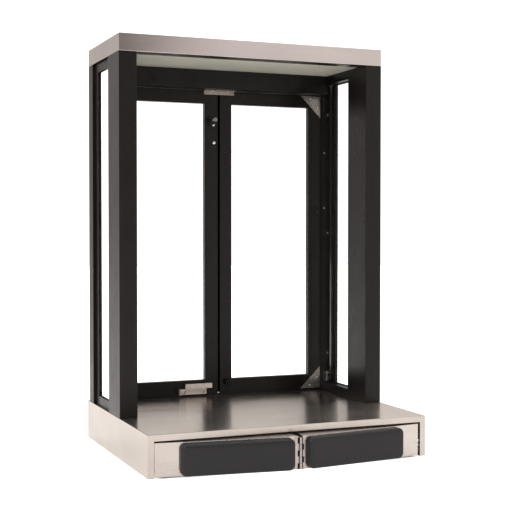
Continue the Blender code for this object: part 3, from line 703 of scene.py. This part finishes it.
def hinge_shade_sheet(word, side):
    """Thin dark sheets of painted shade beside the centre hinge's barrels, wider where the other half's
    barrels turn.
    """
    low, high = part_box("centre_hinge_pin")
    pitch = (high.z - low.z) / BARRELS
    own = 1 if side < 0 else 0
    shapes = []
    for index in range(BARRELS):
        bottom = low.z + pitch * index
        start, end = (0.0036, 0.0052) if index % 2 == own else (0.0031, 0.0078)
        outline = rectangle(start, end, bottom + 0.0004, bottom + pitch - 0.0004)
        shapes.append(moved(slab(outline, "Y", -0.0021, -0.00175), bumper_place(side)))
    # painted shade: a dark sheet stands in for the shadow in each gap beside a barrel
    made = object_of(f"hinge_shade_sheet_{word}", *shapes)
    finish_piece(made, f"{word}_bumper", SEAL)


def side_glowing_film(word, side):
    """Glowing white film on the outer face of a side pane, within the frame's opening: painted light that
    makes the pane read white.
    """
    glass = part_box(f"side_glass_{word}")
    outer = max(abs(glass[0].x), abs(glass[1].x))
    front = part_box(f"front_post_{word}")[1].y + HAIR
    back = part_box(f"back_post_{word}")[0].y - PANE_STRIP - HAIR
    reach = sorted((side * (outer + 0.00005), side * (outer + 0.0002)))
    made = object_of(f"side_glowing_film_{word}", slab(rectangle(front, back, PANE_LOW, PANE_HIGH), "X", *reach))
    finish_piece(made, "frame", GLOWING_FILM)


def header_clip():
    """A small plate under the front beam, towards the right."""
    low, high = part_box("front_beam")
    middle = (low.y + high.y) / 2
    outline = rounded((0.238, middle - 0.010), (0.266, middle + 0.010), 0.002, 3)
    made = object_of("header_clip", slab(outline, "Z", low.z - 0.0016, low.z - HAIR, 0.0003))
    finish_piece(made, "frame", STOP_STEEL)


def bumper_shadow_strip():
    """A black strip behind the base's lip, just above the bumper panels' flanges: painted shade in the gap
    there.
    """
    low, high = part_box("base_shell")
    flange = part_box("bumper_panel_left")[1].z
    front = low.y + 0.0022
    outline = rectangle(-STRIP_REACH, STRIP_REACH, flange + 0.0006, high.z - 0.0018)
    made = object_of("bumper_shadow_strip", slab(outline, "Y", front, front + 0.0012))
    finish_piece(made, "frame", SEAL)


def soften(name, width):
    """A small bevel on a CAD node's edges, so that they catch the light."""
    step = NODES[name].modifiers.new("soften", "BEVEL")
    step.width = width
    step.segments = 2
    step.limit_method = "ANGLE"
    step.angle_limit = math.radians(50)


for word, side in SIDES:
    pad_piece(word, side)
    gusset_piece("top", word, side, -1)
    gusset_piece("bottom", word, side, 1)
    leaf_wiper(word, side)
    hinge_shade_sheet(word, side)
    side_glowing_film(word, side)
stop_piece()
latch_screws()
header_clip()
bumper_shadow_strip()
for name, width in SOFTENED.items():
    soften(name, width)
jamb_screws()
leaf_buttons()

# ---------------------------------------------------------------- floor, light and camera


def seen_directly(tree):
    """1 for the camera's own rays and for those that only went through glass, else 0."""
    rays = node(tree, "ShaderNodeLightPath").outputs
    bounces = maths(tree, "ADD", rays["Glossy Depth"], rays["Diffuse Depth"])
    through = maths(tree, "MULTIPLY", rays["Is Transmission Ray"], ramp(tree, bounces, 0.5, 0.4))
    return maths(tree, "MAXIMUM", rays["Is Camera Ray"], through)


def floor():
    """A pale floor; the camera sees it evenly lit, as a white sweep. Its glow is taken away under the base, a
    painted shade there.
    """
    shape = bmesh.new()
    bmesh.ops.create_circle(shape, cap_ends=True, segments=64, radius=14.0)
    made = object_of("floor", shape)
    material, tree, shader = new_material("pale_floor", 0.7, Emission_Color=(1.0, 0.99, 0.98, 1.0))
    place = node(tree, "ShaderNodeTexCoord").outputs["Object"]
    parts = node(tree, "ShaderNodeSeparateXYZ", {"Vector": place}).outputs
    # painted shade: the glow is masked off within the base's footprint, so the floor goes dark under it
    across = ramp(tree, maths(tree, "ABSOLUTE", parts["X"]), 0.31, 0.34)
    along = ramp(tree, maths(tree, "ABSOLUTE", parts["Y"]), 0.24, 0.27)
    outside = maths(tree, "MAXIMUM", across, along)
    glow = ramp(tree, seen_directly(tree), 0.0, 1.0, 0.34, WHITE_LEVEL)
    grain = noise(tree, (3, 3, 3))
    tone = blend_colours(tree, spread(tree, grain), (0.80, 0.785, 0.77), (0.82, 0.805, 0.79))
    vary(tree, shader, Base_Color=tone, Emission_Strength=maths(tree, "MULTIPLY", outside, glow))
    made.data.materials.append(material)


def world():
    """White to the camera, directly and through glass. To everything else it is a room, with a dark front-left
    and a dimmer back-left."""
    made = bpy.data.worlds.new("studio")
    made.use_nodes = True
    bpy.context.scene.world = made
    tree = made.node_tree
    tree.nodes.clear()
    way = node(tree, "ShaderNodeTexCoord").outputs["Generated"]
    parts = node(tree, "ShaderNodeSeparateXYZ", {"Vector": way}).outputs
    before = ramp(tree, parts["Y"], -0.2, -0.8, kind="SMOOTHSTEP")
    leftward = ramp(tree, parts["X"], 0.345, 0.245, kind="SMOOTHSTEP")
    darkened = ramp(tree, maths(tree, "MULTIPLY", before, leftward), 0.0, 1.0, 0.86, 0.10)
    behind = ramp(tree, parts["Y"], 0.5, 0.9, kind="SMOOTHSTEP")
    beside = ramp(tree, parts["X"], -0.1, -0.2, kind="SMOOTHSTEP")
    dimmed = ramp(tree, maths(tree, "MULTIPLY", behind, beside), 0.0, 1.0, 1.0, 0.65)
    level = maths(tree, "MULTIPLY", darkened, dimmed)
    tint = blend_colours(tree, level, (1.0, 0.85, 0.79), (1.0, 0.955, 0.915))
    room = node(tree, "ShaderNodeBackground", {"Color": tint, "Strength": level})
    plain = node(tree, "ShaderNodeBackground", {"Color": (1.0, 1.0, 1.0, 1.0), "Strength": WHITE_LEVEL})
    both = mix_shaders(tree, seen_directly(tree), room.outputs["Background"], plain.outputs["Background"])
    out = node(tree, "ShaderNodeOutputWorld")
    tree.links.new(both, out.inputs["Surface"])


def softbox(name, place, aim, side, power):
    """A square area light that faces a point."""
    light = bpy.data.lights.new(name, "AREA")
    light.shape = "SQUARE"
    light.size = side
    light.energy = power
    made = bpy.data.objects.new(name, light)
    made.location = place
    made.rotation_euler = (Vector(aim) - Vector(place)).to_track_quat("-Z", "Y").to_euler()
    bpy.context.scene.collection.objects.link(made)


def camera():
    """A long lens, from the left and a little above the middle, turned to the photograph's viewing angle."""
    data = bpy.data.cameras.new("camera")
    data.lens = 79.006
    data.sensor_width = 36.0
    data.clip_end = 60.0
    made = bpy.data.objects.new("camera", data)
    made.location = (-1.0527, -2.6067, 0.5506)
    made.rotation_euler = (math.radians(90 - 1.393), 0.0, math.radians(-22.123))
    bpy.context.scene.collection.objects.link(made)
    bpy.context.scene.camera = made


floor()
world()
softbox("key", place=(-2.2, -1.8, 2.6), aim=(0, 0, 0.4), side=1.6, power=55)
softbox("top", place=(0.4, 0.4, 3.2), aim=(0, 0, 0.3), side=2.4, power=40)
camera()
bpy.context.scene.view_settings.view_transform = "Standard"
